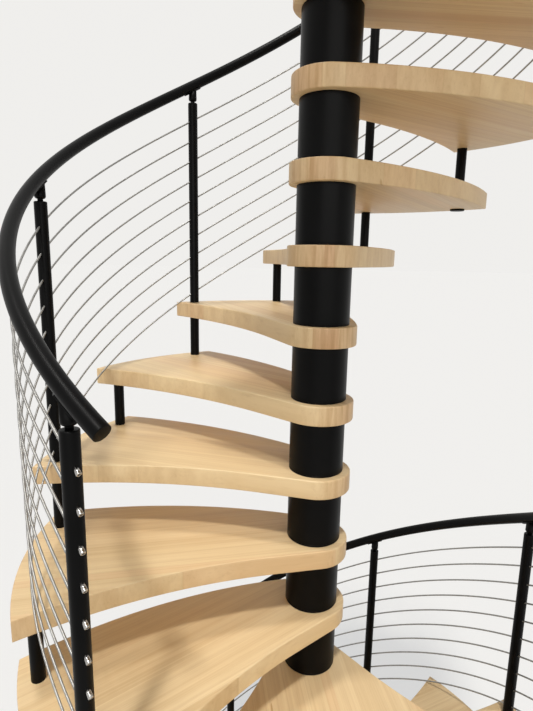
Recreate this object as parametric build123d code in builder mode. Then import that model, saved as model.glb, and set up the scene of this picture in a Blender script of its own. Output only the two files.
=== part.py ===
"""Spiral staircase with laminated wood treads round a steel column.

Millimetres, +Z up. The column's axis is Z and the underside of the base flange is Z = 0.
The stair climbs clockwise seen from above, in two flights with a landing between them.
"""

from build123d import *
from dataclasses import dataclass
from math import atan2, cos, degrees, pi, radians, sin, tan
import os

# Column
sleeve_radius = 84.15
sleeve_sides = 24
flange_radius = 160.0
flange_thickness = 12.0
flange_bolt_circle = 135.0
flange_bolt_count = 6
flange_bolt_hole_radius = 7.0
newel_height = 930.0
cap_thickness = 8.0
cap_overhang = 4.0

# Treads and landings
tread_thickness = 60.0
tread_radius = 880.0
collar_radius = 107.5
nose_straight = 150.0
nose_corner_angle = 17.2
back_corner_angle = 19.5
back_edge_slope = 29.0
landing_hole_angle = 91.0
collar_chords = 12
side_chords = 6
rim_chords = 8
landing_rim_chords = 20

# Flights
lower_start_angle = 168.4
lower_step_angle = 24.9
lower_rise = 206.4
lower_risers = 9
upper_step_angle = 26.75
upper_rise = 228.0
upper_risers = 11

# Railing
post_circle_radius = 828.0
post_radius = 18.5
post_hole_clearance = 0.3
handrail_radius = 18.5
lower_handrail_height = 840.0
upper_handrail_height = 862.0
handrail_projection = 6.4
handrail_chords_per_step = 3
rod_size = 6.0
rod_count = 10
lower_rod_over_nose = 6.6
upper_rod_over_nose = 11.9
lower_rod_pitch = 75.0
upper_rod_pitch = 76.4
rod_chords_per_bay = 4
steps_per_bay = 2
seat_clearance = 0.3
tube_sides = 12

# Rail saddles
neck_radius = 8.0
neck_height = 7.0
knuckle_radius = 16.0
knuckle_top_radius = 15.0
knuckle_height = 33.0
knuckle_flare = 8.0
knuckle_sides = 8
cradle_thickness = 3.0
cradle_width = 32.0
cradle_length = 72.0
cradle_sides = 12

# Guard of the top landing
guard_height = 900.0
guard_projection = 60.0


@dataclass
class Flight:
    """Post hole m joins tread m to tread m + 1, and tread 0 is what the flight starts from."""

    start_angle: float
    step_angle: float
    rise: float
    risers: int
    base_level: float
    handrail_height: float
    rod_over_nose: float
    rod_pitch: float

    def angle(self, hole):
        return self.start_angle - hole * self.step_angle

    def level(self, tread):
        return self.base_level + tread * self.rise

    @property
    def last_hole(self):
        return self.risers - 1

    @property
    def slope(self):
        """Angle of the handrail above the horizontal."""
        run = post_circle_radius * radians(self.step_angle)
        return degrees(atan2(self.rise, run))

    @property
    def rod_heights(self):
        """Heights of the rods at a post, above the tread that the post passes through.

        The lowest rod passes this far over the nose corners of the treads.
        """
        nose_reach = nose_corner_angle / self.step_angle - 1 / 2
        first = self.rod_over_nose + self.rise * nose_reach
        return [first + rod * self.rod_pitch for rod in range(rod_count)]

    @property
    def post_holes(self):
        return range(0, self.risers, steps_per_bay)

    @property
    def spacer_holes(self):
        return [hole for hole in range(self.risers) if hole not in self.post_holes]


lower = Flight(
    start_angle=lower_start_angle,
    step_angle=lower_step_angle,
    rise=lower_rise,
    risers=lower_risers,
    base_level=0.0,
    handrail_height=lower_handrail_height,
    rod_over_nose=lower_rod_over_nose,
    rod_pitch=lower_rod_pitch,
)
upper = Flight(
    start_angle=lower.angle(lower.last_hole) - landing_hole_angle,
    step_angle=upper_step_angle,
    rise=upper_rise,
    risers=upper_risers,
    base_level=lower.level(lower_risers),
    handrail_height=upper_handrail_height,
    rod_over_nose=upper_rod_over_nose,
    rod_pitch=upper_rod_pitch,
)
top_level = upper.level(upper_risers)
guard_angle = upper.angle(upper.last_hole) - landing_hole_angle
post_hole_radius = post_radius + post_hole_clearance / cos(pi / tube_sides)


def polar(radius, angle):
    return (radius * cos(radians(angle)), radius * sin(radians(angle)))


def turned(angle, level=0.0):
    """Horizontal plane whose x axis points outwards at this plan angle."""
    return Plane(origin=(0, 0, level), x_dir=(*polar(1, angle), 0), z_dir=(0, 0, 1))


def tube_section(radius, angle=0.0):
    """Outline of a railing tube, with a corner at this angle."""
    RegularPolygon(radius, tube_sides, rotation=angle)


def finish(builder, node):
    builder.part.label = node
    export_step(builder.part, f"parts/{node}.step")


def in_chords(curve, count):
    """Draws this many straight chords of a curve."""
    Polyline(*[curve @ (corner / count) for corner in range(count + 1)])


def nose_edge(side):
    """Edge that leaves the collar straight and then curves out; side is 1 for the front."""
    corner = polar(tread_radius, side * nose_corner_angle)
    start = (0, side * collar_radius)
    bend = (nose_straight, side * collar_radius)
    Line(start, bend)
    in_chords(TangentArc(bend, corner, tangent=(1, 0), mode=Mode.PRIVATE), side_chords)
    return start, corner


def make_tread(flight, number):
    """Tread with its collar; an odd post hole in front of it would hold only a spacer."""
    middle_angle = flight.angle(number - 0.5)
    underside = turned(middle_angle, flight.level(number) - tread_thickness)
    collar_end_angle = -90 - back_edge_slope
    collar_end = polar(collar_radius, collar_end_angle)
    back_corner = polar(tread_radius, -back_corner_angle)
    with BuildPart() as tread:
        with BuildSketch(underside):
            with BuildLine():
                collar_start, nose_corner = nose_edge(1)
                rim = ThreePointArc(
                    nose_corner, (tread_radius, 0), back_corner, mode=Mode.PRIVATE
                )
                back = TangentArc(
                    collar_end, back_corner, tangent=polar(1, -back_edge_slope), mode=Mode.PRIVATE
                )
                far_side = polar(collar_radius, (90 + 360 + collar_end_angle) / 2)
                collar = ThreePointArc(collar_end, far_side, collar_start, mode=Mode.PRIVATE)
                in_chords(rim, rim_chords)
                in_chords(back, side_chords)
                in_chords(collar, collar_chords)
            make_face()
        extrude(amount=tread_thickness)
        if number - 1 in flight.post_holes:
            with BuildSketch(underside):
                with Locations(polar(post_circle_radius, flight.step_angle / 2)):
                    tube_section(post_hole_radius, flight.step_angle / 2)
            extrude(amount=tread_thickness, mode=Mode.SUBTRACT)
    return tread


def make_landing(front_hole_angle, front_step_angle, back_step_angle, level):
    """Landing between two flights: both of its sides have the nose edge of a tread."""
    front_angle = front_hole_angle - front_step_angle / 2
    back_angle = front_hole_angle - landing_hole_angle + back_step_angle / 2
    underside = level - tread_thickness
    front_corner = polar(tread_radius, front_angle + nose_corner_angle)
    back_corner = polar(tread_radius, back_angle - nose_corner_angle)
    middle_angle = (front_angle + back_angle) / 2
    with BuildPart() as landing:
        with BuildSketch(Plane.XY.offset(underside)):
            with BuildLine():
                front_start = polar(collar_radius, front_angle + 90)
                front_bend = Vector(*front_start) + Vector(*polar(nose_straight, front_angle))
                back_start = polar(collar_radius, back_angle - 90)
                back_bend = Vector(*back_start) + Vector(*polar(nose_straight, back_angle))
                front = TangentArc(
                    front_bend, front_corner, tangent=polar(1, front_angle), mode=Mode.PRIVATE
                )
                rim_middle = polar(tread_radius, middle_angle)
                rim = ThreePointArc(front_corner, rim_middle, back_corner, mode=Mode.PRIVATE)
                back = TangentArc(
                    back_bend, back_corner, tangent=polar(1, back_angle), mode=Mode.PRIVATE
                )
                far_side = polar(collar_radius, middle_angle + 180)
                collar = ThreePointArc(back_start, far_side, front_start, mode=Mode.PRIVATE)
                Line(front_start, front_bend)
                in_chords(front, side_chords)
                in_chords(rim, landing_rim_chords)
                in_chords(back, side_chords)
                Line(back_bend, back_start)
                in_chords(collar, collar_chords)
            make_face()
        extrude(amount=tread_thickness)
        with BuildSketch(Plane.XY.offset(underside)):
            with Locations(polar(post_circle_radius, front_hole_angle)):
                tube_section(post_hole_radius, front_hole_angle)
        extrude(amount=tread_thickness, mode=Mode.SUBTRACT)
    return landing


def make_sleeves(flight):
    """Drums between one tread's top and the next one's underside."""
    with BuildPart() as sleeves:
        for tread in range(flight.risers):
            foot = flight.level(tread)
            if flight is lower and tread == 0:
                foot = flange_thickness
            with BuildSketch(Plane.XY.offset(foot)):
                RegularPolygon(sleeve_radius, sleeve_sides)
            extrude(amount=flight.level(tread + 1) - tread_thickness - foot)
    return sleeves


def hole_locations(flight, holes):
    """Places on the post circle, turned so that x points outwards."""
    return [
        Location(
            (*polar(post_circle_radius, flight.angle(hole)), flight.level(hole)),
            (0, 0, flight.angle(hole)),
        )
        for hole in holes
    ]


def shoulder_drop(slope):
    """From the handrail's centre down to the top of the post."""
    underside = (handrail_radius + seat_clearance + cradle_thickness) / cos(radians(slope))
    return underside + knuckle_height + neck_height


def make_posts(flight):
    length = flight.rise + flight.handrail_height - shoulder_drop(flight.slope)
    with BuildPart() as posts:
        for place in hole_locations(flight, flight.post_holes):
            with BuildSketch(Plane(place)):
                tube_section(post_radius)
            extrude(amount=length)
    return posts


def make_spacers(flight):
    """Short tubes from one tread's top to the underside of the next."""
    length = flight.rise - tread_thickness
    with BuildPart() as spacers:
        for place in hole_locations(flight, flight.spacer_holes):
            with BuildSketch(Plane(place)):
                tube_section(post_radius)
            extrude(amount=length)
    return spacers


def cradle_section(inner_radius, mode=Mode.ADD):
    """Polygon round a circle of this radius, with a flat side underneath."""
    RegularPolygon(
        inner_radius, cradle_sides, major_radius=False, rotation=180 / cradle_sides, mode=mode
    )


def make_saddle(slope):
    """Neck, knuckle and cradle under a handrail whose centre is at the origin.

    The handrail rises towards -Y at this slope, and the post stands on the Z axis.
    """
    drop = shoulder_drop(slope)
    knuckle_foot = neck_height - drop
    inside = handrail_radius + seat_clearance
    rail_direction = (0, -cos(radians(slope)), sin(radians(slope)))
    above_post = Vector(*rail_direction) * (-inside * tan(radians(slope)))
    across_rail = Plane(origin=above_post, x_dir=(1, 0, 0), z_dir=rail_direction)
    profile = [
        (neck_radius, -drop),
        (neck_radius, knuckle_foot),
        (knuckle_radius, knuckle_foot + knuckle_flare),
        (knuckle_top_radius, 0),
    ]
    with BuildPart() as saddle:
        for radius, height in profile:
            with BuildSketch(Plane.XY.offset(height)):
                RegularPolygon(radius, knuckle_sides)
        loft(ruled=True)
        with BuildSketch(across_rail):
            cradle_section(inside + cradle_thickness)
            Rectangle(
                cradle_width, 2 * inside, align=(Align.CENTER, Align.MAX), mode=Mode.INTERSECT
            )
            cradle_section(inside, mode=Mode.SUBTRACT)
        extrude(amount=cradle_length / 2, both=True)
        with BuildSketch(across_rail):
            cradle_section(inside)
        extrude(amount=cradle_length, both=True, mode=Mode.SUBTRACT)
    return saddle


def make_saddles(flight):
    saddle = make_saddle(flight.slope)
    rise = Location((0, 0, flight.rise + flight.handrail_height))
    with BuildPart() as saddles:
        with Locations(*[place * rise for place in hole_locations(flight, flight.post_holes)]):
            add(saddle.part)
    return saddles


def make_handrail(flight):
    """Round rail bent to the helix in short chords, with the posts at the chords' middles."""
    chord = flight.step_angle / handrail_chords_per_step
    corner_radius = post_circle_radius / cos(radians(chord / 2))
    start = flight.start_angle
    height = flight.level(1) + flight.handrail_height
    corner_count = flight.last_hole * handrail_chords_per_step + 1
    offsets = [-handrail_projection]
    offsets += [(corner - 0.5) * chord for corner in range(corner_count + 1)]
    offsets += [flight.last_hole * flight.step_angle + handrail_projection]
    ends = (offsets[0], offsets[-1])
    path_points = [
        (
            *polar(post_circle_radius if offset in ends else corner_radius, start - offset),
            height + flight.rise * offset / flight.step_angle,
        )
        for offset in offsets
    ]
    with BuildPart() as handrail:
        with BuildLine() as route:
            Polyline(*path_points)
        with BuildSketch(Plane(origin=route.line @ 0, z_dir=route.line % 0)):
            tube_section(handrail_radius)
        sweep(path=route.line, transition=Transition.RIGHT)
    return handrail


def make_rod(flight):
    """One bay of rod, from post to post, with its upright middle section at plan angle 0."""
    half_bay = steps_per_bay * flight.step_angle / 2
    gap = degrees((post_radius + seat_clearance) / post_circle_radius)
    reach = half_bay - gap
    with BuildPart() as rod:
        for chord_end in range(rod_chords_per_bay + 1):
            offset = reach * (2 * chord_end / rod_chords_per_bay - 1)
            height = flight.rise * offset / flight.step_angle
            outwards = Vector(*polar(1, -offset))
            section = Plane(
                origin=(*polar(post_circle_radius, -offset), height),
                x_dir=(outwards.X, outwards.Y, 0),
                z_dir=(outwards.Y, -outwards.X, 0),
            )
            with BuildSketch(section):
                Rectangle(rod_size, rod_size / cos(radians(flight.slope)))
        loft(ruled=True)
    return rod


def make_rods(flight):
    rod = make_rod(flight)
    half_bay = steps_per_bay / 2
    places = [
        Location(
            (0, 0, flight.level(hole + 1 + half_bay) + height),
            (0, 0, flight.angle(hole + half_bay)),
        )
        for hole in flight.post_holes
        if hole + steps_per_bay <= flight.last_hole
        for height in flight.rod_heights
    ]
    with BuildPart() as rods:
        with Locations(*places):
            add(rod.part)
    return rods


os.makedirs("parts", exist_ok=True)

# Base flange, bolted to the ground
with BuildPart() as base_flange:
    with BuildSketch():
        Circle(flange_radius)
        with PolarLocations(flange_bolt_circle, flange_bolt_count):
            Circle(flange_bolt_hole_radius, mode=Mode.SUBTRACT)
    extrude(amount=flange_thickness)
finish(base_flange, "base_flange")

# Column sleeves
finish(make_sleeves(lower), "lower_column_sleeves")
finish(make_sleeves(upper), "upper_column_sleeves")

# Treads and landings
for flight, flight_name in ((lower, "lower"), (upper, "upper")):
    for number in range(1, flight.risers):
        finish(make_tread(flight, number), f"{flight_name}_tread_{number:02d}")
middle_landing = make_landing(
    lower.angle(lower.last_hole), lower_step_angle, upper_step_angle, upper.base_level
)
finish(middle_landing, "middle_landing")
top_landing = make_landing(
    upper.angle(upper.last_hole), upper_step_angle, upper_step_angle, top_level
)
finish(top_landing, "top_landing")

# Railing of each flight
for flight, flight_name in ((lower, "lower"), (upper, "upper")):
    finish(make_posts(flight), f"{flight_name}_posts")
    finish(make_spacers(flight), f"{flight_name}_spacer_tubes")
    finish(make_handrail(flight), f"{flight_name}_handrail")
    finish(make_rods(flight), f"{flight_name}_rods")

# Newel above the top landing, with its cap
with BuildPart() as newel:
    with BuildSketch(Plane.XY.offset(top_level)):
        RegularPolygon(sleeve_radius, sleeve_sides)
    extrude(amount=newel_height)
finish(newel, "top_newel")

with BuildPart() as newel_cap:
    with BuildSketch(Plane.XY.offset(top_level + newel_height)):
        RegularPolygon(sleeve_radius + cap_overhang, sleeve_sides)
    extrude(amount=cap_thickness)
    chamfer(newel_cap.edges().group_by(Axis.Z)[-1], cap_overhang)
finish(newel_cap, "newel_cap")

# Guard on the open side of the top landing
guard_plane = turned(guard_angle, top_level)
guard_post_length = guard_height - shoulder_drop(0)
with BuildPart() as guard_post:
    with BuildSketch(guard_plane):
        with Locations((post_circle_radius, 0)):
            tube_section(post_radius)
    extrude(amount=guard_post_length)
finish(guard_post, "guard_post")

# Rail saddles, the guard's among the upper ones
guard_saddle_place = Location(
    (*polar(post_circle_radius, guard_angle), top_level + guard_height), (0, 0, guard_angle + 90)
)
with BuildPart() as upper_saddles:
    add(make_saddles(upper).part)
    with Locations(guard_saddle_place):
        add(make_saddle(0).part)
finish(make_saddles(lower), "lower_rail_saddles")
finish(upper_saddles, "upper_rail_saddles")

# Rail and rods of the guard

rail_start = sleeve_radius + seat_clearance
rail_length = post_circle_radius + guard_projection - rail_start
with BuildPart() as guard_handrail:
    along_guard = Plane(
        origin=(*polar(rail_start, guard_angle), top_level + guard_height),
        z_dir=(*polar(1, guard_angle), 0),
    )
    with BuildSketch(along_guard):
        tube_section(handrail_radius)
    extrude(amount=rail_length)
finish(guard_handrail, "guard_handrail")

rod_length = post_circle_radius - post_radius - seat_clearance - rail_start
with BuildPart() as guard_rods:
    for height in upper.rod_heights:
        with BuildSketch(
            Plane(
                origin=(*polar(rail_start, guard_angle), top_level + height),
                x_dir=(0, 0, 1),
                z_dir=(*polar(1, guard_angle), 0),
            )
        ):
            Rectangle(rod_size, rod_size)
        extrude(amount=rod_length)
finish(guard_rods, "guard_rods")
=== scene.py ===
"""Looks of the spiral staircase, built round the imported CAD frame. Metres and degrees, +Z up."""

import math

import bpy
import numpy as np
from mathutils import Matrix, Vector
from mathutils.geometry import tessellate_polygon


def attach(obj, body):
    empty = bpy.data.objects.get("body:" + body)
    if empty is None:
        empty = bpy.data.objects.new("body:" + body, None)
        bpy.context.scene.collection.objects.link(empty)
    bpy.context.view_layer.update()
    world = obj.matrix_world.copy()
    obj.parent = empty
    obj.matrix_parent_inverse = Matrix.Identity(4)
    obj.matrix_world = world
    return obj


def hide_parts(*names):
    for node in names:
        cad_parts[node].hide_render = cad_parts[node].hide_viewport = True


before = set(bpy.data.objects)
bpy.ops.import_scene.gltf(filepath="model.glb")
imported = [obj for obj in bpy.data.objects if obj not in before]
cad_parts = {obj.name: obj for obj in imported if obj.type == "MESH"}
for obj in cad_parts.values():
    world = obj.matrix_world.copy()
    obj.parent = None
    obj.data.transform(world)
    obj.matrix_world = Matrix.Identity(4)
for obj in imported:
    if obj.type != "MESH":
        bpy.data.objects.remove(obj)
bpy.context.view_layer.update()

# Column
SLEEVE_RADIUS = 0.08415
DRUM_SIDES = 96
DRUM_EDGE = 0.0012
GROOVE_DEPTH = 0.0006
FOOT_RING_HEIGHT = 0.0060
NEWEL_HEIGHT = 0.930
CAP_THICKNESS = 0.008
CAP_OVERHANG = 0.004
CAP_ROUNDING = 0.004
FLANGE_THICKNESS = 0.012

# Floor anchors: profiles of (radius, height over the flange)
BOLT_CIRCLE = 0.135
BOLT_COUNT = 6
WASHER = [(0.0120, 0.0), (0.0120, 0.0025)]
ANCHOR_NUT = [(0.0095, 0.0025), (0.0105, 0.0035), (0.0105, 0.0115), (0.0090, 0.0125)]
BOLT_END = [(0.0060, 0.0125), (0.0060, 0.0180), (0.0050, 0.0190)]
WASHER_SIDES = 32
NUT_SIDES = 6
BOLT_SIDES = 24

# Treads and landings
TREAD_THICKNESS = 0.060
TREAD_RADIUS = 0.880
COLLAR_RADIUS = 0.1075
NOSE_STRAIGHT = 0.150
NOSE_CORNER = 17.2
BACK_CORNER = 19.5
BACK_SLOPE = 29.0
LANDING_HOLE_ANGLE = 91.0
HOLE_CLEARANCE = 0.0003
EDGE_ROUNDING = 0.0040
ROUNDING_STEPS = 4
EDGE_CHORDS = 40
BACK_CHORDS = 44
COLLAR_CHORDS = 60
LANDING_RIM_CHORDS = 110
SAME_POINT = 1e-5
MITRE_LIMIT = 0.5
GRAIN_SEED = 7
GRAIN_RANGE = 12

# Posts and spacers
POST_CIRCLE = 0.828
POST_RADIUS = 0.0185
POST_SIDES = 40
POST_SHOULDER = 0.003
POST_SHOULDER_TURNS = (0, 22.5, 45, 67.5, 90)
TUBE_EDGE = 0.0006
FOOT_CAP_RADIUS = 0.027
FOOT_CAP_THICKNESS = 0.007
FOOT_CAP_EDGE = 0.002
FOOT_CAP_SIDES = 40

# Handrails and their saddles
HANDRAIL_RADIUS = 0.0185
HANDRAIL_PROJECTION = 6.4
HANDRAIL_STEP = 1.5
HANDRAIL_SIDES = 40
HANDRAIL_EDGE = 0.0015
GUARD_HEIGHT = 0.900
GUARD_PROJECTION = 0.060
SEAT_CLEARANCE = 0.0003
NECK_RADIUS = 0.008
NECK_HEIGHT = 0.007
KNUCKLE_RADIUS = 0.016
KNUCKLE_TOP_RADIUS = 0.015
KNUCKLE_HEIGHT = 0.033
KNUCKLE_FLARE = 0.008
KNUCKLE_SIDES = 32
CRADLE_THICKNESS = 0.003
CRADLE_HALF_WIDTH = 0.016
CRADLE_LENGTH = 0.072
CRADLE_CORNER = 0.010
CRADLE_NARROWING = 0.45
CRADLE_STEPS = 14

# Rods and the fittings at their ends
ROD_RADIUS = 0.0030
ROD_COUNT = 10
ROD_STEP = 2.0
ROD_SIDES = 12
ROD_END_TURN = 8.0
ROD_END_LIFT = 0.006
FITTING_RADIUS = 0.0054
FITTING_REACH = 0.0145
FITTING_ROUNDING = 0.0014
FITTING_SIDES = 24
SOCKET_RADIUS = 0.0027
SOCKET_DEPTH = 0.0065
SOCKET_EDGE = 0.0003

# Meshes
WELD_DISTANCE = 1e-6
SHARP_ANGLE = 35


class Flight:
    """Post hole m joins tread m to tread m + 1, and tread 0 is what the flight starts from."""

    def __init__(self, name, start, step, rise, risers, base, handrail, rod_over_nose, rod_pitch):
        self.name, self.start, self.step, self.rise = name, start, step, rise
        self.risers, self.base, self.handrail = risers, base, handrail
        self.last_hole = risers - 1
        first_rod = rod_over_nose + rise * (NOSE_CORNER / step - 0.5)
        self.rods = [first_rod + rod * rod_pitch for rod in range(ROD_COUNT)]

    def angle(self, hole):
        return self.start - hole * self.step

    def level(self, tread):
        return self.base + tread * self.rise

    @property
    def slope(self):
        return math.atan2(self.rise, POST_CIRCLE * math.radians(self.step))


lower = Flight(
    name="lower",
    start=168.4,
    step=24.9,
    rise=0.2064,
    risers=9,
    base=0.0,
    handrail=0.840,
    rod_over_nose=0.0066,
    rod_pitch=0.0750,
)
upper = Flight(
    name="upper",
    start=lower.angle(lower.last_hole) - LANDING_HOLE_ANGLE,
    step=26.75,
    rise=0.2280,
    risers=11,
    base=lower.level(lower.risers),
    handrail=0.862,
    rod_over_nose=0.0119,
    rod_pitch=0.0764,
)
FLIGHTS = (lower, upper)
TOP_LEVEL = upper.level(upper.risers)
GUARD_ANGLE = upper.angle(upper.last_hole) - LANDING_HOLE_ANGLE


# Mesh tools


def polar(radius, angle):
    return radius * math.cos(math.radians(angle)), radius * math.sin(math.radians(angle))


def turned(angle, level):
    return Matrix.Translation((0, 0, level)) @ Matrix.Rotation(math.radians(angle), 4, "Z")


def ring_points(profile, sides):
    """A ring of points round the z axis for each (radius, height) of the profile."""
    return [
        (*polar(radius, 360 * side / sides), height)
        for radius, height in profile
        for side in range(sides)
    ]


def ring_faces(rings, size):
    """Faces between rings of this many points each, one ring after the other."""
    return [
        (
            ring * size + side,
            ring * size + (side + 1) % size,
            (ring + 1) * size + (side + 1) % size,
            (ring + 1) * size + side,
        )
        for ring in range(rings - 1)
        for side in range(size)
    ]


def rounded_edge(radius, top, rounding, turns=(0, 30, 60, 90)):
    """Profile of (radius, height) from the side over a rounded top edge."""
    return [
        (
            radius - rounding * (1 - math.cos(math.radians(turn))),
            top - rounding * (1 - math.sin(math.radians(turn))),
        )
        for turn in turns
    ]


class Build:
    """Vertices and faces of one piece, put together from several forms."""

    def __init__(self):
        self.points, self.faces, self.smooth, self.end_grain = [], [], [], []

    def add(self, points, faces, smooth=True, matrix=None, end_grain=None):
        first = len(self.points)
        self.end_grain += end_grain or [0.0] * len(points)
        for point in points:
            self.points.append(matrix @ Vector(point) if matrix else Vector(point))
        for face in faces:
            self.faces.append([first + corner for corner in face])
            self.smooth.append(smooth)

    def skin(self, points, size, matrix=None, flipped=False):
        """Smooth sides through rings of this many points each, and a flat face at either end."""
        sides = ring_faces(len(points) // size, size)
        first, last = tuple(reversed(range(size))), tuple(range(size))
        if flipped:
            sides = [face[::-1] for face in sides]
            first, last = last, first
        self.add(points, sides, True, matrix)
        self.add(points[:size], [first], False, matrix)
        self.add(points[-size:], [last], False, matrix)

    def lathe(self, profile, sides, matrix=None):
        """Profile of (radius, height) from the bottom up, closed at both ends."""
        self.skin(ring_points(profile, sides), sides, matrix)

    def tube(self, centres, outs, radius, sides, end_rounding=0.0):
        """Round tube along centres; outs are directions roughly square to it."""
        rings = []
        for number, centre in enumerate(centres):
            before = centres[max(number - 1, 0)]
            after = centres[min(number + 1, len(centres) - 1)]
            along = (after - before).normalized()
            out = (outs[number] - along * outs[number].dot(along)).normalized()
            rings.append((centre, out, along, radius))
        if end_rounding:
            edge = rounded_edge(radius, 0.0, end_rounding)
            ends = []
            for (centre, out, along, _), outwards in ((rings[0], -1), (rings[-1], 1)):
                ends.append(
                    [(centre + along * (outwards * reach), out, along, narrow) for narrow, reach in edge]
                )
            rings = ends[0][::-1] + rings[1:-1] + ends[1]
        points = []
        for centre, out, along, ring_radius in rings:
            up = along.cross(out)
            for side in range(sides):
                turn = 2 * math.pi * side / sides
                points.append(centre + ring_radius * (out * math.cos(turn) + up * math.sin(turn)))
        self.skin(points, sides)

    def board(self, outline, hole=None):
        """Flat board with rounded edges, its underside at height 0, and at most one hole.

        How much end grain its sides show is the square of how far they face along the grain, x.
        """
        outline = [Vector((x, y)) for x, y in outline]
        if sum(a.x * b.y - b.x * a.y for a, b in zip(outline, outline[1:] + outline[:1])) < 0:
            outline.reverse()
        count = len(outline)
        offsets, facing = [], []
        for number, here in enumerate(outline):
            one = (here - outline[number - 1]).normalized()
            two = (outline[(number + 1) % count] - here).normalized()
            inwards = Vector((-(one.y + two.y), one.x + two.x)).normalized()
            lean = max(inwards.dot(Vector((-one.y, one.x))), MITRE_LIMIT)
            offsets.append(inwards / lean)
            facing.append(inwards.x**2)
        rings = []
        for step in range(ROUNDING_STEPS + 1):
            turn = math.pi / 2 * step / ROUNDING_STEPS
            rings.append((EDGE_ROUNDING * (1 - math.sin(turn)), EDGE_ROUNDING * (1 - math.cos(turn))))
        rings += [(inset, TREAD_THICKNESS - height) for inset, height in reversed(rings)]
        points, end_grain = [], []
        for inset, height in rings:
            for here, offset, share in zip(outline, offsets, facing):
                spot = here + offset * inset
                points.append((spot.x, spot.y, height))
                end_grain.append(share * (1 - inset / EDGE_ROUNDING))
        self.add(points, ring_faces(len(rings), count), end_grain=end_grain)
        for level, ring in ((0.0, points[:count]), (TREAD_THICKNESS, points[-count:])):
            loops = [[Vector((x, y, 0)) for x, y, _ in ring]]
            if hole:
                loops.append([Vector((x, y, 0)) for x, y in hole])
            flat = [(p.x, p.y, level) for loop in loops for p in loop]
            cap = []
            for a, b, c in tessellate_polygon(loops):
                pa, pb, pc = Vector(flat[a]), Vector(flat[b]), Vector(flat[c])
                up = (pb - pa).cross(pc - pa).z > 0
                cap.append((a, b, c) if up == (level > 0) else (c, b, a))
            self.add(flat, cap, False)
        if hole:
            size = len(hole)
            wall = [(x, y, level) for level in (0.0, TREAD_THICKNESS) for x, y in hole]
            self.add(
                wall,
                [(s, size + s, size + (s + 1) % size, (s + 1) % size) for s in range(size)],
            )

    def piece(self, name, material, slot, *nodes, place=None, grain_shift=None):
        """Makes the object; a grain shift also stores each board's own coordinates, moved across."""
        mesh = bpy.data.meshes.new(name)
        placed = [place @ point for point in self.points] if place else self.points
        mesh.from_pydata([tuple(point) for point in placed], [], self.faces)
        mesh.polygons.foreach_set("use_smooth", self.smooth)
        if grain_shift is not None:
            own = [(point.x, point.y + grain_shift, point.z) for point in self.points]
            grain = mesh.attributes.new("grain", "FLOAT_VECTOR", "POINT")
            grain.data.foreach_set("vector", np.array(own).ravel())
            end_grain = mesh.attributes.new("end_grain", "FLOAT", "POINT")
            end_grain.data.foreach_set("value", self.end_grain)
        mesh.validate()
        mesh.materials.append(material)
        obj = bpy.data.objects.new(name, mesh)
        bpy.context.scene.collection.objects.link(obj)
        weld = obj.modifiers.new("weld", "WELD")
        weld.merge_threshold = WELD_DISTANCE
        mesh.set_sharp_from_angle(angle=math.radians(SHARP_ANGLE))
        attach(obj, "root")
        if nodes:
            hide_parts(*nodes)


# Materials


class Shader:
    """A material with one Principled shader, and short ways to add nodes to it."""

    def __init__(self, name):
        self.material = bpy.data.materials.new(name)
        self.material.use_nodes = True
        self.nodes = self.material.node_tree.nodes
        self.links = self.material.node_tree.links
        self.bsdf = self.nodes["Principled BSDF"]

    def node(self, kind, **values):
        node = self.nodes.new(kind)
        for key, value in values.items():
            setattr(node, key, value)
        return node

    def fill(self, socket, value):
        """Sets a socket to a number or colour, or links another node's output to it."""
        if isinstance(value, (int, float)):
            socket.default_value = value
        elif isinstance(value, tuple):
            socket.default_value = (*value, 1.0)
        else:
            self.links.new(value, socket)

    def math(self, operation, first, second=None):
        node = self.node("ShaderNodeMath", operation=operation)
        self.fill(node.inputs[0], first)
        if second is not None:
            self.fill(node.inputs[1], second)
        return node.outputs[0]

    def noise(self, vector, scale, detail, roughness=0.5):
        node = self.node("ShaderNodeTexNoise")
        node.inputs["Scale"].default_value = scale
        node.inputs["Detail"].default_value = detail
        node.inputs["Roughness"].default_value = roughness
        self.links.new(vector, node.inputs["Vector"])
        return node.outputs["Fac"]

    def random_per(self, index):
        """A number from 0 to 1 that is the same wherever the index is."""
        noise = self.node("ShaderNodeTexWhiteNoise", noise_dimensions="1D")
        self.links.new(index, noise.inputs["W"])
        return noise.outputs["Value"]

    def vector(self, x, y, z):
        node = self.node("ShaderNodeCombineXYZ")
        for socket, value in zip(node.inputs, (x, y, z)):
            self.links.new(value, socket)
        return node.outputs[0]

    def ramp(self, factor, *stops):
        node = self.node("ShaderNodeValToRGB")
        elements = node.color_ramp.elements
        while len(elements) < len(stops):
            elements.new(0.5)
        for element, (position, colour) in zip(elements, stops):
            element.position = position
            element.color = (*colour, 1.0)
        self.links.new(factor, node.inputs[0])
        return node.outputs[0]

    def mix(self, factor, first, second, blend="MIX"):
        node = self.node("ShaderNodeMix", data_type="RGBA", blend_type=blend)
        # Sockets 6 and 7 and output 2 are this node's colours.
        self.fill(node.inputs[0], factor)
        self.fill(node.inputs[6], first)
        self.fill(node.inputs[7], second)
        return node.outputs[2]

    def tint(self, share, colour, layer):
        return self.mix(share, colour, layer, "MULTIPLY")

    def bump(self, height, strength, distance):
        node = self.node("ShaderNodeBump")
        node.inputs["Strength"].default_value = strength
        node.inputs["Distance"].default_value = distance
        self.links.new(height, node.inputs["Height"])
        self.links.new(node.outputs[0], self.bsdf.inputs["Normal"])


LAMELLA_WIDTH = 0.045
LAMELLA_WANDER = 1.6
WANDER_SCALE = 0.45
LAMELLA_SLIDE = 26.0
BLUSH_OFFSET = 0.37
WHITE = (1, 1, 1)


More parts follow.
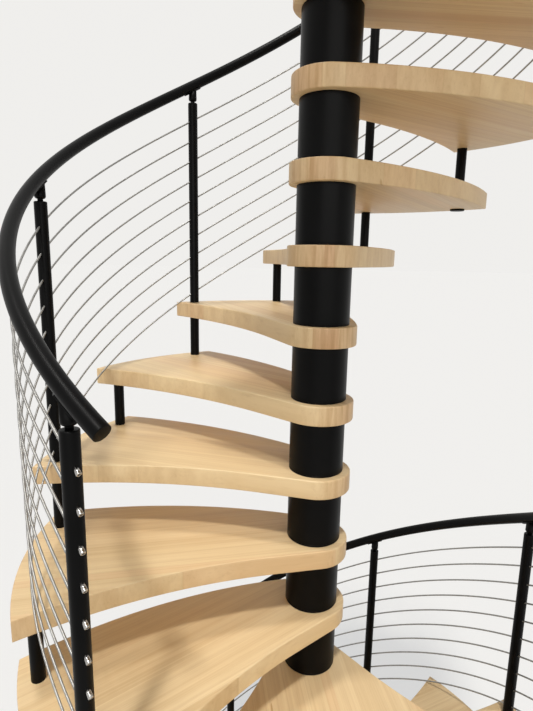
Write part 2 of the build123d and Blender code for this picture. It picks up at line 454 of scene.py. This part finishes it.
def wood_material():
    """Laminated pale hardwood: lamellas side by side, with the grain along each board's own x."""
    shader = Shader("laminated_wood")
    coordinates = shader.node("ShaderNodeAttribute", attribute_name="grain").outputs["Vector"]
    end_grain = shader.node("ShaderNodeAttribute", attribute_name="end_grain").outputs["Fac"]
    split = shader.node("ShaderNodeSeparateXYZ")
    shader.links.new(coordinates, split.inputs[0])
    x, y, z = split.outputs

    across = shader.math("DIVIDE", y, LAMELLA_WIDTH)
    wander = shader.node("ShaderNodeTexNoise", noise_dimensions="1D")
    wander.inputs["Detail"].default_value = 0.0
    wander.inputs["Scale"].default_value = WANDER_SCALE
    shader.links.new(across, wander.inputs["W"])
    across = shader.math("ADD", across, shader.math("MULTIPLY", wander.outputs["Fac"], LAMELLA_WANDER))
    lamella = shader.math("FLOOR", across)
    tone = shader.random_per(lamella)
    blush = shader.random_per(shader.math("ADD", lamella, BLUSH_OFFSET))
    along = shader.math("ADD", x, shader.math("MULTIPLY", tone, LAMELLA_SLIDE))

    def grain_noise(length, width, height, detail, roughness=0.5):
        """Noise whose features have about these sizes along, across and through the board."""
        scaled = [shader.math("DIVIDE", *pair) for pair in ((along, length), (y, width), (z, height))]
        return shader.noise(shader.vector(*scaled), 1.0, detail, roughness)

    broad = grain_noise(length=0.95, width=0.045, height=0.150, detail=2.0)
    band = grain_noise(length=0.90, width=0.0170, height=0.200, detail=1.0)
    fine = grain_noise(length=0.55, width=0.0050, height=0.040, detail=3.0, roughness=0.6)
    pore = grain_noise(length=0.08, width=0.0024, height=0.012, detail=2.0, roughness=0.6)
    streak = grain_noise(length=0.14, width=0.0130, height=0.060, detail=0.0)

    body = shader.ramp(
        broad,
        (0.30, (0.850, 0.640, 0.365)),
        (0.52, (0.875, 0.668, 0.388)),
        (0.74, (0.900, 0.700, 0.420)),
    )
    fibres = shader.ramp(fine, (0.34, (0.76, 0.555, 0.305)), (0.62, (0.93, 0.735, 0.45)))
    body = shader.mix(0.36, body, fibres)
    tones = shader.ramp(tone, (0.0, (0.91, 0.88, 0.84)), (0.5, (0.98, 0.97, 0.96)), (1.0, WHITE))
    body = shader.tint(1.0, body, tones)
    body = shader.tint(1.0, body, shader.ramp(blush, (0.74, WHITE), (0.95, (0.98, 0.93, 0.91))))
    stripes = shader.ramp(band, (0.40, (0.85, 0.78, 0.70)), (0.54, WHITE))
    body = shader.tint(0.36, body, stripes)
    body = shader.tint(shader.math("MULTIPLY", end_grain, 0.66), body, stripes)
    ends = shader.ramp(tone, (0.1, (0.97, 0.87, 0.85)), (0.7, (1.0, 0.955, 0.945)))
    body = shader.tint(end_grain, body, ends)
    body = shader.tint(0.45, body, shader.ramp(pore, (0.30, (0.88, 0.84, 0.79)), (0.44, WHITE)))
    streaks = shader.ramp(streak, (0.10, (0.74, 0.63, 0.50)), (0.14, WHITE))
    body = shader.tint(shader.math("SUBTRACT", 1.0, end_grain), body, streaks)
    seam = shader.math("ABSOLUTE", shader.math("SUBTRACT", shader.math("FRACT", across), 0.5))
    body = shader.tint(1.0, body, shader.ramp(seam, (0.482, WHITE), (0.5, (0.94, 0.92, 0.89))))
    shader.links.new(body, shader.bsdf.inputs["Base Color"])
    gloss = shader.ramp(broad, (0.3, (0.42, 0.42, 0.42)), (0.7, (0.52, 0.52, 0.52)))
    shader.links.new(gloss, shader.bsdf.inputs["Roughness"])
    shader.bump(pore, strength=0.10, distance=0.0004)
    return shader.material


def steel_material():
    """Black satin powder coat."""
    shader = Shader("black_powder_coat")
    coordinates = shader.node("ShaderNodeTexCoord").outputs["Object"]
    cloud = shader.noise(coordinates, scale=9.0, detail=3.0)
    colour = shader.ramp(cloud, (0.3, (0.0018, 0.0018, 0.0019)), (0.7, (0.0034, 0.0034, 0.0036)))
    shader.links.new(colour, shader.bsdf.inputs["Base Color"])
    gloss = shader.ramp(cloud, (0.3, (0.33, 0.33, 0.33)), (0.7, (0.40, 0.40, 0.40)))
    shader.links.new(gloss, shader.bsdf.inputs["Roughness"])
    shader.bsdf.inputs["Specular IOR Level"].default_value = 0.085
    grain = shader.noise(coordinates, scale=700.0, detail=2.0)
    shader.bump(grain, strength=0.08, distance=0.0003)
    return shader.material


def stainless_material(name, dark, light, roughness):
    """Stainless steel, clouded between two greys; the callers give greys darker than plain stainless,
    painted shade in its reflections.
    """
    shader = Shader(name)
    coordinates = shader.node("ShaderNodeTexCoord").outputs["Object"]
    cloud = shader.noise(coordinates, scale=60.0, detail=3.0)
    colour = shader.ramp(cloud, (0.3, dark), (0.7, light))
    shader.links.new(colour, shader.bsdf.inputs["Base Color"])
    shader.bsdf.inputs["Roughness"].default_value = roughness
    shader.bsdf.inputs["Metallic"].default_value = 1.0
    return shader.material


WOOD, STEEL = wood_material(), steel_material()
# Both stainless greys are darker than plain stainless: painted shade standing in for dark surroundings in
# the reflections. The rods' satin finish and the fittings' polish are real.
ROD_STEEL_PAINTED_DARK = stainless_material("satin_stainless_painted_dark", (0.29, 0.285, 0.275), (0.38, 0.375, 0.36), 0.46)
POLISHED_STEEL_PAINTED_DARK = stainless_material("polished_stainless_painted_dark", (0.34, 0.33, 0.32), (0.48, 0.47, 0.45), 0.20)


# Treads and landings


def tangent_arc(start, direction, end, count):
    """Points of the arc that leaves start along direction and comes to end."""
    start, direction, end = Vector(start), Vector(direction).normalized(), Vector(end)
    normal = Vector((-direction.y, direction.x))
    chord = end - start
    radius = chord.length_squared / (2 * chord.dot(normal))
    centre = start + normal * radius
    first = math.atan2(*(start - centre).yx)
    sweep = math.atan2(*(end - centre).yx) - first
    sweep = (sweep + math.pi) % (2 * math.pi) - math.pi
    size = abs(radius)
    return [
        (
            centre.x + size * math.cos(first + sweep * step / count),
            centre.y + size * math.sin(first + sweep * step / count),
        )
        for step in range(count + 1)
    ]


def circle_arc(radius, first, last, count):
    return [polar(radius, first + (last - first) * step / count) for step in range(count + 1)]


def hole_outline(angle):
    x, y = polar(POST_CIRCLE, angle)
    ring = circle_arc(POST_RADIUS + HOLE_CLEARANCE, 0, 360 - 360 / POST_SIDES, POST_SIDES - 1)
    return [(x + px, y + py) for px, py in ring]


def without_repeats(points):
    kept = []
    for point in points:
        if not kept or math.dist(point, kept[-1]) > SAME_POINT:
            kept.append(point)
    if math.dist(kept[0], kept[-1]) < SAME_POINT:
        kept.pop()
    return kept


def tread_outline():
    """Tread turned so that its middle is at plan angle 0."""
    nose_corner = polar(TREAD_RADIUS, NOSE_CORNER)
    back_corner = polar(TREAD_RADIUS, -BACK_CORNER)
    collar_end = -90 - BACK_SLOPE
    collar_tangent = polar(1, -BACK_SLOPE)
    nose = [(0, COLLAR_RADIUS)]
    nose += tangent_arc((NOSE_STRAIGHT, COLLAR_RADIUS), (1, 0), nose_corner, EDGE_CHORDS)
    rim = circle_arc(TREAD_RADIUS, NOSE_CORNER, -BACK_CORNER, EDGE_CHORDS)
    back = tangent_arc(polar(COLLAR_RADIUS, collar_end), collar_tangent, back_corner, BACK_CHORDS)
    collar = circle_arc(COLLAR_RADIUS, collar_end + 360, 90, COLLAR_CHORDS)
    return without_repeats(nose + rim + back[::-1] + collar)


def landing_outline(front_step):
    """Landing turned so that its front hole is at plan angle 0. The upper flight's step sets its back."""
    front, back = -front_step / 2, -LANDING_HOLE_ANGLE + upper.step / 2
    front_start = Vector(polar(COLLAR_RADIUS, front + 90))
    front_bend = front_start + Vector(polar(NOSE_STRAIGHT, front))
    front_corner = polar(TREAD_RADIUS, front + NOSE_CORNER)
    back_start = Vector(polar(COLLAR_RADIUS, back - 90))
    back_bend = back_start + Vector(polar(NOSE_STRAIGHT, back))
    back_corner = polar(TREAD_RADIUS, back - NOSE_CORNER)
    nose = [tuple(front_start)] + tangent_arc(front_bend, polar(1, front), front_corner, EDGE_CHORDS)
    rim = circle_arc(TREAD_RADIUS, front + NOSE_CORNER, back - NOSE_CORNER, LANDING_RIM_CHORDS)
    rear = tangent_arc(back_bend, polar(1, back), back_corner, EDGE_CHORDS)[::-1]
    collar = circle_arc(COLLAR_RADIUS, back - 90 + 360, front + 90, COLLAR_CHORDS)
    return without_repeats(nose + rim + rear + [tuple(back_start)] + collar)


outline = tread_outline()
board_count = sum(flight.risers for flight in FLIGHTS)
shifts = iter(np.random.default_rng(GRAIN_SEED).uniform(0, GRAIN_RANGE, board_count).tolist())
for flight in FLIGHTS:
    for number in range(1, flight.risers):
        build = Build()
        # Posts stand at the even holes, so they pass through the odd treads.
        build.board(outline, hole_outline(flight.step / 2) if number % 2 else None)
        place = turned(flight.angle(number - 0.5), flight.level(number) - TREAD_THICKNESS)
        node = f"{flight.name}_tread_{number:02d}"
        build.piece(f"{node}_board", WOOD, "wood", node, place=place, grain_shift=next(shifts))

# A landing's board is made with its middle and its grain along x, and the hole at its front.
half_landing = LANDING_HOLE_ANGLE / 2
swing = Matrix.Rotation(math.radians(half_landing), 3, "Z")
for node, flight in (("middle_landing", lower), ("top_landing", upper)):
    shape = [(swing @ Vector((x, y, 0))).xy for x, y in landing_outline(flight.step)]
    build = Build()
    build.board(shape, hole_outline(half_landing))
    place = turned(
        flight.angle(flight.last_hole) - half_landing, flight.level(flight.risers) - TREAD_THICKNESS
    )
    build.piece(f"{node}_board", WOOD, "wood", node, place=place, grain_shift=next(shifts))


# Column


def drum(build, foot, top):
    """Drum with broken edges and a fine groove over its foot ring."""
    groove = foot + FOOT_RING_HEIGHT
    build.lathe(
        [
            (SLEEVE_RADIUS - DRUM_EDGE, foot),
            (SLEEVE_RADIUS, foot + DRUM_EDGE),
            (SLEEVE_RADIUS, groove - GROOVE_DEPTH),
            (SLEEVE_RADIUS - GROOVE_DEPTH, groove),
            (SLEEVE_RADIUS, groove + GROOVE_DEPTH),
            (SLEEVE_RADIUS, top - DRUM_EDGE),
            (SLEEVE_RADIUS - DRUM_EDGE, top),
        ],
        DRUM_SIDES,
    )


for flight in FLIGHTS:
    build = Build()
    for tread in range(flight.risers):
        foot = FLANGE_THICKNESS if flight is lower and tread == 0 else flight.level(tread)
        drum(build, foot, flight.level(tread + 1) - TREAD_THICKNESS)
    build.piece(f"{flight.name}_drums", STEEL, "black_steel", f"{flight.name}_column_sleeves")
newel_top = TOP_LEVEL + NEWEL_HEIGHT
build = Build()
drum(build, TOP_LEVEL, newel_top)
build.piece("newel_drum", STEEL, "black_steel", "top_newel")
cap_radius = SLEEVE_RADIUS + CAP_OVERHANG
cap_edge = rounded_edge(cap_radius, newel_top + CAP_THICKNESS, CAP_ROUNDING)
build = Build()
build.lathe([(cap_radius, newel_top)] + cap_edge, DRUM_SIDES)
build.piece("newel_cap_plate", STEEL, "black_steel", "newel_cap")

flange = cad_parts["base_flange"]
flange.data.materials.clear()
flange.data.materials.append(STEEL)
build = Build()
for bolt in range(BOLT_COUNT):
    place = Matrix.Translation((*polar(BOLT_CIRCLE, 360 * bolt / BOLT_COUNT), FLANGE_THICKNESS))
    build.lathe(WASHER, WASHER_SIDES, place)
    build.lathe(ANCHOR_NUT, NUT_SIDES, place)
    build.lathe(BOLT_END, BOLT_SIDES, place)
build.piece("floor_anchor_nuts", POLISHED_STEEL_PAINTED_DARK, "stainless")


# Posts, spacers and the caps under the treads


def on_post_circle(angle, level):
    x, y = polar(POST_CIRCLE, angle)
    return Matrix.Translation((x, y, level)) @ Matrix.Rotation(math.radians(angle), 4, "Z")


def shoulder_drop(slope):
    """How far a post's top lies under the centre of the handrail over it."""
    underside = (HANDRAIL_RADIUS + SEAT_CLEARANCE + CRADLE_THICKNESS) / math.cos(slope)
    return underside + KNUCKLE_HEIGHT + NECK_HEIGHT


def post(build, place, length, shoulder):
    """Tube with a broken edge at its foot and a rounded shoulder."""
    foot = [(POST_RADIUS - TUBE_EDGE, 0.0), (POST_RADIUS, TUBE_EDGE)]
    top = rounded_edge(POST_RADIUS, length, shoulder, POST_SHOULDER_TURNS)
    build.lathe(foot + top, POST_SIDES, place)


FOOT_CAP = [
    (FOOT_CAP_RADIUS - FOOT_CAP_EDGE, -FOOT_CAP_THICKNESS),
    (FOOT_CAP_RADIUS, -FOOT_CAP_THICKNESS + FOOT_CAP_EDGE),
    (FOOT_CAP_RADIUS, 0.0),
]
for flight in FLIGHTS:
    posts, spacers, caps = Build(), Build(), Build()
    length = flight.rise + flight.handrail - shoulder_drop(flight.slope)
    for hole in range(flight.risers):
        angle, level = flight.angle(hole), flight.level(hole)
        if hole % 2 == 0:
            post(posts, on_post_circle(angle, level), length, POST_SHOULDER)
        else:
            post(spacers, on_post_circle(angle, level), flight.rise - TREAD_THICKNESS, TUBE_EDGE)
        if level > TREAD_THICKNESS:
            caps.lathe(FOOT_CAP, FOOT_CAP_SIDES, on_post_circle(angle, level - TREAD_THICKNESS))
    posts.piece(f"{flight.name}_post_tubes", STEEL, "black_steel", f"{flight.name}_posts")
    spacers.piece(f"{flight.name}_spacers", STEEL, "black_steel", f"{flight.name}_spacer_tubes")
    caps.piece(f"{flight.name}_foot_caps", STEEL, "black_steel")
build = Build()
post(build, on_post_circle(GUARD_ANGLE, TOP_LEVEL), GUARD_HEIGHT - shoulder_drop(0), POST_SHOULDER)
build.piece("guard_post_tube", STEEL, "black_steel", "guard_post")


# Rail saddles


def saddle(build, place, slope):
    """Neck, knuckle and cradle.

    place is the handrail's centre over the post, with x outwards and y back down the slope.
    """
    inner = HANDRAIL_RADIUS + SEAT_CLEARANCE
    outer = inner + CRADLE_THICKNESS
    seat = inner + CRADLE_THICKNESS / 2
    drop = shoulder_drop(slope)
    foot = NECK_HEIGHT - drop
    profile = [(NECK_RADIUS, -drop), (NECK_RADIUS, foot)]
    for turn in (20, 40, 60, 80, 90):
        radius = NECK_RADIUS + (KNUCKLE_RADIUS - NECK_RADIUS) * math.sin(math.radians(turn))
        profile.append((radius, foot + KNUCKLE_FLARE * (1 - math.cos(math.radians(turn)))))
    points = ring_points(profile, KNUCKLE_SIDES)
    for side in range(KNUCKLE_SIDES):
        x, y = polar(KNUCKLE_TOP_RADIUS, 360 * side / KNUCKLE_SIDES)
        points.append((x, y, -math.sqrt(seat**2 - x**2) / math.cos(slope) - y * math.tan(slope)))
    build.skin(points, KNUCKLE_SIDES, place)

    sections = []
    for turn in (0, 30, 60, 90):
        back = CRADLE_CORNER * (1 - math.sin(math.radians(turn)))
        width = 1 - CRADLE_NARROWING * (1 - math.sin(math.radians(turn)))
        sections.append((-CRADLE_LENGTH / 2 + CRADLE_CORNER - back, width))
    sections += [(-along, width) for along, width in reversed(sections)]
    reach = math.degrees(math.asin(CRADLE_HALF_WIDTH / outer))
    shift = inner * math.tan(slope)
    points = []
    for along, width in sections:
        turns = [
            math.radians(-90 + width * reach * (2 * step / CRADLE_STEPS - 1))
            for step in range(CRADLE_STEPS + 1)
        ]
        loop = [(inner, turn) for turn in turns] + [(outer, turn) for turn in reversed(turns)]
        for radius, turn in loop:
            points.append((radius * math.cos(turn), along + shift, radius * math.sin(turn)))
    tilt = place @ Matrix.Rotation(-slope, 4, "X")
    build.skin(points, 2 * (CRADLE_STEPS + 1), tilt, flipped=True)


for flight in FLIGHTS:
    build = Build()
    for hole in range(0, flight.risers, 2):
        centre = flight.level(hole + 1) + flight.handrail
        saddle(build, on_post_circle(flight.angle(hole), centre), flight.slope)
    if flight is upper:
        place = on_post_circle(GUARD_ANGLE, TOP_LEVEL + GUARD_HEIGHT)
        saddle(build, place @ Matrix.Rotation(math.pi / 2, 4, "Z"), 0.0)
    build.piece(f"{flight.name}_saddles", STEEL, "black_steel", f"{flight.name}_rail_saddles")


# Handrails, rods and their ends


def helix(flight, height, first, last, step):
    """Centres and outward directions, from first to last degrees past the first post."""
    count = math.ceil((last - first) / step)
    centres, outs = [], []
    for number in range(count + 1):
        offset = first + (last - first) * number / count
        x, y = polar(POST_CIRCLE, flight.start - offset)
        centres.append(Vector((x, y, height + flight.rise * offset / flight.step)))
        outs.append(Vector((*polar(1, flight.start - offset), 0)))
    return centres, outs


def rod_line(flight, rod_height):
    """A rod's centres and outward directions.

    Over the bays at its ends it lies inside the post circle and runs out nearly straight, and at the
    first post it comes out higher.
    """
    sweep = flight.last_hole * flight.step
    slant = POST_CIRCLE * math.tan(math.radians(ROD_END_TURN))
    centres, outs = helix(flight, flight.level(1) + rod_height, 0.0, sweep, ROD_STEP)

    def share(past):
        return max(0.0, 1 - past / flight.step) ** 2

    for number, outward in enumerate(outs):
        offset = sweep * number / (len(outs) - 1)
        inwards = sum(slant * math.radians(past) * share(past) for past in (offset, sweep - offset))
        lift = Vector((0, 0, ROD_END_LIFT * share(offset)))
        centres[number] = centres[number] - outward * inwards + lift
    return centres, outs


def rod_end(build, centre, direction, climb=0.0):
    """Round fitting with a socket, in line with its rod, which climbs this much per unit of run."""
    along = Vector((direction.x, direction.y, climb)).normalized()
    turn = along.to_track_quat("Z", "Y").to_matrix().to_4x4()
    foot = POST_RADIUS / 2
    length = POST_RADIUS * math.hypot(1, climb) - foot + FITTING_REACH
    profile = [(FITTING_RADIUS, 0.0)] + rounded_edge(FITTING_RADIUS, length, FITTING_ROUNDING)
    profile += [
        (SOCKET_RADIUS + SOCKET_EDGE, length),
        (SOCKET_RADIUS, length - SOCKET_EDGE),
        (SOCKET_RADIUS, length - SOCKET_DEPTH),
    ]
    build.lathe(profile, FITTING_SIDES, Matrix.Translation(centre + along * foot) @ turn)


for flight in FLIGHTS:
    sweep = flight.last_hole * flight.step
    first, last = -HANDRAIL_PROJECTION, sweep + HANDRAIL_PROJECTION
    centres, outs = helix(flight, flight.level(1) + flight.handrail, first, last, HANDRAIL_STEP)
    build = Build()
    build.tube(centres, outs, HANDRAIL_RADIUS, HANDRAIL_SIDES, HANDRAIL_EDGE)
    build.piece(f"{flight.name}_rail_tube", STEEL, "black_steel", f"{flight.name}_handrail")
    rods, fittings = Build(), Build()
    for rod_height in flight.rods:
        centres, outs = rod_line(flight, rod_height)
        rods.tube(centres, outs, ROD_RADIUS, ROD_SIDES)
        for offset, centre, way in ((0, centres[0], 1), (sweep, centres[-1], -1)):
            heading = flight.start - offset + (90 - ROD_END_TURN) * way
            rod_end(fittings, centre, Vector(polar(1, heading)), -way * math.tan(flight.slope))
    rods.piece(f"{flight.name}_rod_lines", ROD_STEEL_PAINTED_DARK, "stainless", f"{flight.name}_rods")
    fittings.piece(f"{flight.name}_rod_ends", POLISHED_STEEL_PAINTED_DARK, "stainless")

outwards = Vector((*polar(1, GUARD_ANGLE), 0))
sideways = Vector((-outwards.y, outwards.x, 0))
up = Vector((0, 0, 1))
rail_start = SLEEVE_RADIUS + SEAT_CLEARANCE
centres = [
    outwards * reach + up * (TOP_LEVEL + GUARD_HEIGHT)
    for reach in (rail_start, (rail_start + POST_CIRCLE) / 2, POST_CIRCLE + GUARD_PROJECTION)
]
build = Build()
build.tube(centres, [sideways] * 3, HANDRAIL_RADIUS, HANDRAIL_SIDES, HANDRAIL_EDGE)
build.piece("guard_rail_tube", STEEL, "black_steel", "guard_handrail")
rods, fittings = Build(), Build()
for rod_height in upper.rods:
    height = up * (TOP_LEVEL + rod_height)
    centres = [outwards * reach + height for reach in (rail_start, POST_CIRCLE / 2, POST_CIRCLE)]
    rods.tube(centres, [sideways] * 3, ROD_RADIUS, ROD_SIDES)
    rod_end(fittings, centres[-1], outwards)
rods.piece("guard_rod_lines", ROD_STEEL_PAINTED_DARK, "stainless", "guard_rods")
fittings.piece("guard_rod_ends", POLISHED_STEEL_PAINTED_DARK, "stainless")


# Stage

BACKGROUND = (0.87, 0.86, 0.84, 1.0)
FLOOR_SIZE = 400
FLOOR_DROP = 0.0005
FLOOR_LIFT = 0.46


def seen_directly(nodes, links):
    """1 for rays from the camera, in reflections and through glass, else 0."""
    path = nodes.new("ShaderNodeLightPath")
    seen = path.outputs["Is Camera Ray"]
    for ray in ("Is Glossy Ray", "Is Transmission Ray"):
        either = nodes.new("ShaderNodeMath")
        either.operation = "MAXIMUM"
        links.new(seen, either.inputs[0])
        links.new(path.outputs[ray], either.inputs[1])
        seen = either.outputs[0]
    return seen


def stage_material():
    """Pale floor, lifted to the background's tone where it is seen, which keeps the shadow."""
    shader = Shader("pale_floor")
    shader.bsdf.inputs["Base Color"].default_value = (0.49, 0.47, 0.44, 1.0)
    shader.bsdf.inputs["Roughness"].default_value = 0.9
    shader.bsdf.inputs["Specular IOR Level"].default_value = 0.0
    shader.bsdf.inputs["Emission Color"].default_value = (0.85, 0.89, 0.94, 1.0)
    lift = shader.math("MULTIPLY", seen_directly(shader.nodes, shader.links), FLOOR_LIFT)
    shader.links.new(lift, shader.bsdf.inputs["Emission Strength"])
    return shader.material


bpy.ops.mesh.primitive_plane_add(size=FLOOR_SIZE, location=(0, 0, -FLOOR_DROP))
floor = bpy.context.object
floor.name = "floor"
floor.data.materials.append(stage_material())

world = bpy.data.worlds.new("studio")
bpy.context.scene.world = world
world.use_nodes = True
nodes, links = world.node_tree.nodes, world.node_tree.links
soft = nodes["Background"]
soft.inputs["Color"].default_value = (1.0, 0.985, 0.96, 1.0)
soft.inputs["Strength"].default_value = 0.25
ground = nodes.new("ShaderNodeBackground")
ground.inputs["Color"].default_value = BACKGROUND
ground.inputs["Strength"].default_value = 1.0
blend = nodes.new("ShaderNodeMixShader")
links.new(seen_directly(nodes, links), blend.inputs[0])
links.new(soft.outputs[0], blend.inputs[1])
links.new(ground.outputs[0], blend.inputs[2])
links.new(blend.outputs[0], nodes["World Output"].inputs["Surface"])


def soft_sun(name, towards, degrees, strength, colour):
    """Light from a disk this many degrees across, in this direction from the stair."""
    data = bpy.data.lights.new(name, "SUN")
    data.angle, data.energy, data.color = math.radians(degrees), strength, colour
    lamp = bpy.data.objects.new(name, data)
    lamp.rotation_mode = "QUATERNION"
    lamp.rotation_quaternion = Vector(towards).to_track_quat("Z", "Y")
    bpy.context.scene.collection.objects.link(lamp)


soft_sun("key", (-0.07, -0.50, 1.0), degrees=5, strength=1.46, colour=(1.0, 0.98, 0.94))
soft_sun("side", (-0.27, -0.08, 1.0), degrees=8, strength=0.84, colour=(1.0, 0.98, 0.95))
soft_sun("fill", (0.30, -1.0, 0.15), degrees=60, strength=1.15, colour=(1.0, 0.99, 0.97))


# Camera

EYE = Vector((0.0, -1.520, 3.183))
TURN, PITCH, ROLL = math.radians(6.105), math.radians(10.685), math.radians(-1.025)
FOCAL_PIXELS = 507.31
FRAME_HEIGHT = 711
SENSOR_SIZE = 36.0
NEAR_CLIP = 0.02
right = Vector((math.cos(TURN), math.sin(TURN), 0))
forward = Vector(
    (-math.sin(TURN) * math.cos(PITCH), math.cos(TURN) * math.cos(PITCH), -math.sin(PITCH))
)
above = right.cross(forward)
image_right = right * math.cos(ROLL) - above * math.sin(ROLL)
image_up = right * math.sin(ROLL) + above * math.cos(ROLL)
camera_data = bpy.data.cameras.new("camera")
camera_data.sensor_width = SENSOR_SIZE
camera_data.lens = SENSOR_SIZE * FOCAL_PIXELS / FRAME_HEIGHT
camera_data.clip_start = NEAR_CLIP
camera = bpy.data.objects.new("camera", camera_data)
camera.matrix_world = Matrix(
    [[image_right[i], image_up[i], -forward[i], EYE[i]] for i in range(3)] + [[0, 0, 0, 1]]
)
bpy.context.scene.collection.objects.link(camera)
bpy.context.scene.camera = camera
bpy.context.scene.view_settings.view_transform = "Standard"
